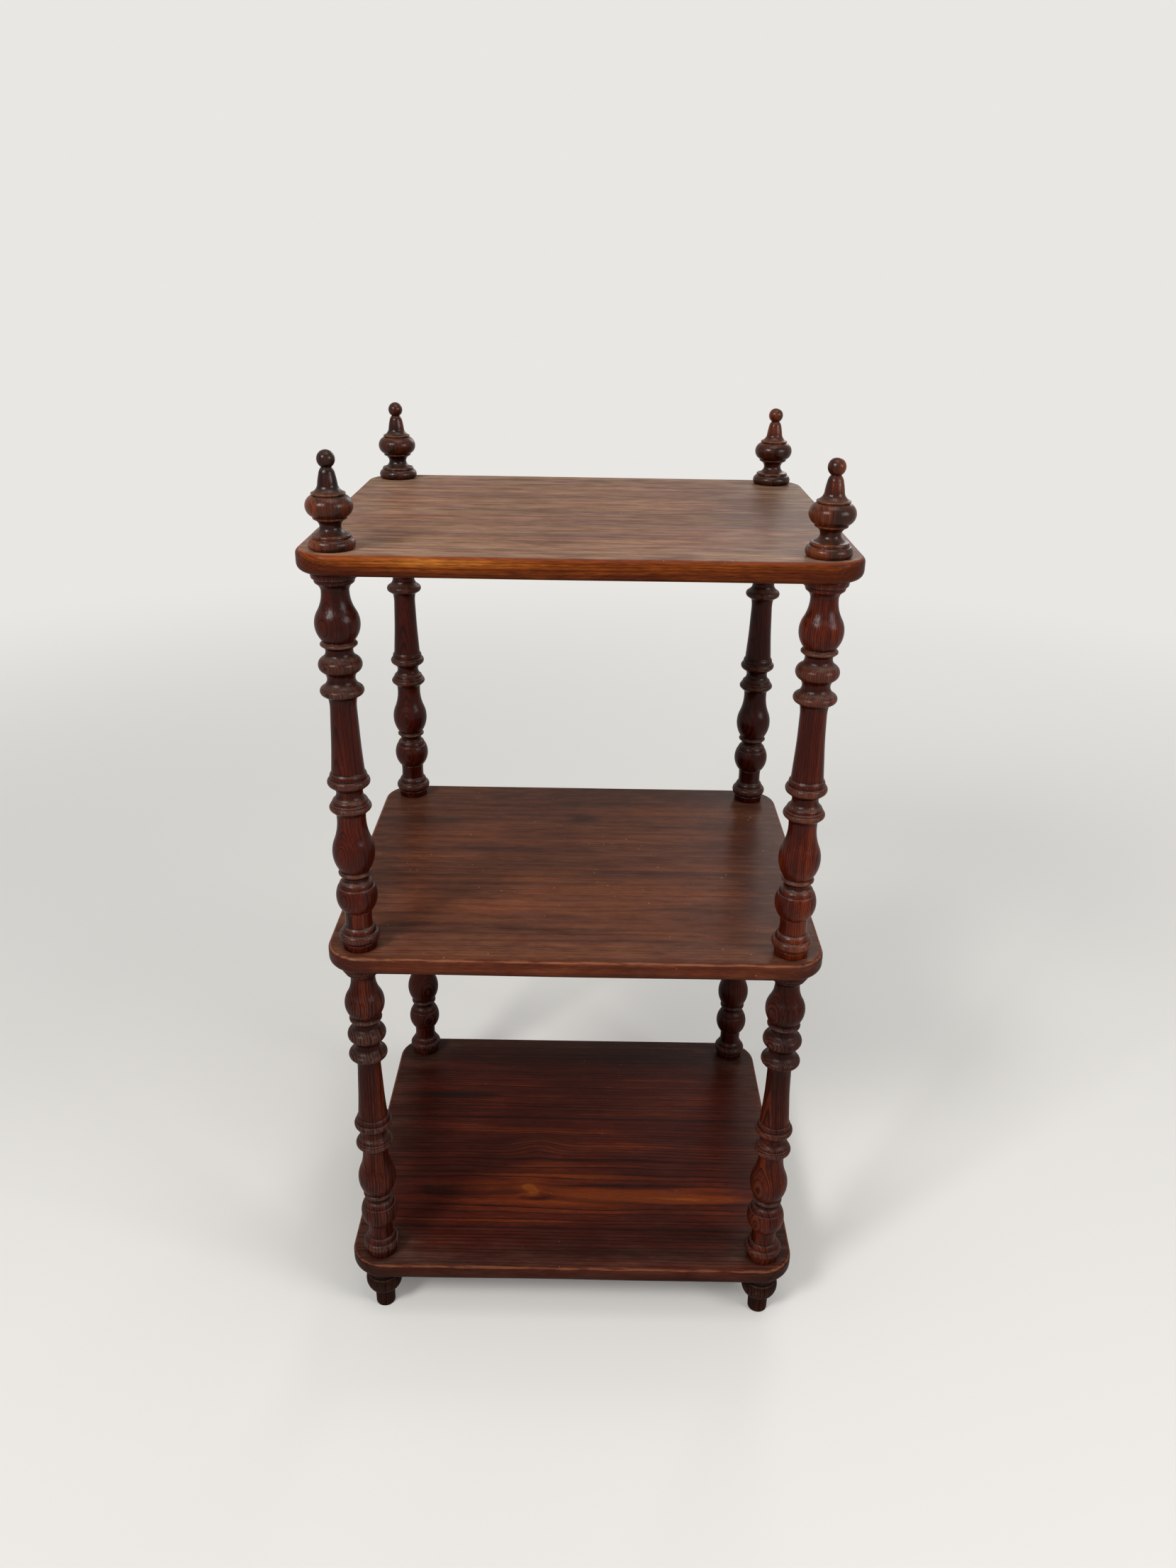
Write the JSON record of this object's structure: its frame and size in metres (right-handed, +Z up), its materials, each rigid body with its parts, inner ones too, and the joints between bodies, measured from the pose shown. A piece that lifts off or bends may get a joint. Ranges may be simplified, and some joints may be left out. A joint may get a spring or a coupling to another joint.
{
  "type": "etagere",
  "caption": "Free-standing etagere of stained turned pine: round-cornered shelves on ring-and-vase turned columns, with finials on top and turned feet.",
  "frame": {"origin": "on the floor, in the middle of the four feet", "axes": "+Z up; +X along the wider side of the shelves, to the right seen from the front; +Y from the front to the back"},
  "size_m": [0.456, 0.393, 0.8779],
  "materials": {
    "top_shelf": "mahogany-stained pine under an old satin varnish, greyed and dusty on top",
    "middle_shelf": "mahogany-stained pine under an old satin varnish, with darker streaks",
    "bottom_shelf": "mahogany-stained pine under an old satin varnish, strong dark grain",
    "upper_column": "turned pine, dark mahogany stain, semi-gloss varnish",
    "lower_column": "turned pine, dark mahogany stain, duller varnish",
    "finial": "turned pine, mahogany stain, glossier varnish",
    "foot": "turned pine, dark stain, worn dull"
  },
  "bodies": {
    "root": {"bottom_shelf": "bottom_shelf", "middle_shelf": "middle_shelf", "top_shelf": "top_shelf", "foot_front_left": "foot", "foot_front_right": "foot", "foot_back_left": "foot", "foot_back_right": "foot", "lower_column_front_left": "lower_column", "lower_column_front_right": "lower_column", "lower_column_back_left": "lower_column", "lower_column_back_right": "lower_column", "upper_column_front_left": "upper_column", "upper_column_front_right": "upper_column", "upper_column_back_left": "upper_column", "upper_column_back_right": "upper_column", "finial_front_left": "finial", "finial_front_right": "finial", "finial_back_left": "finial", "finial_back_right": "finial"}
  },
  "joints": []
}
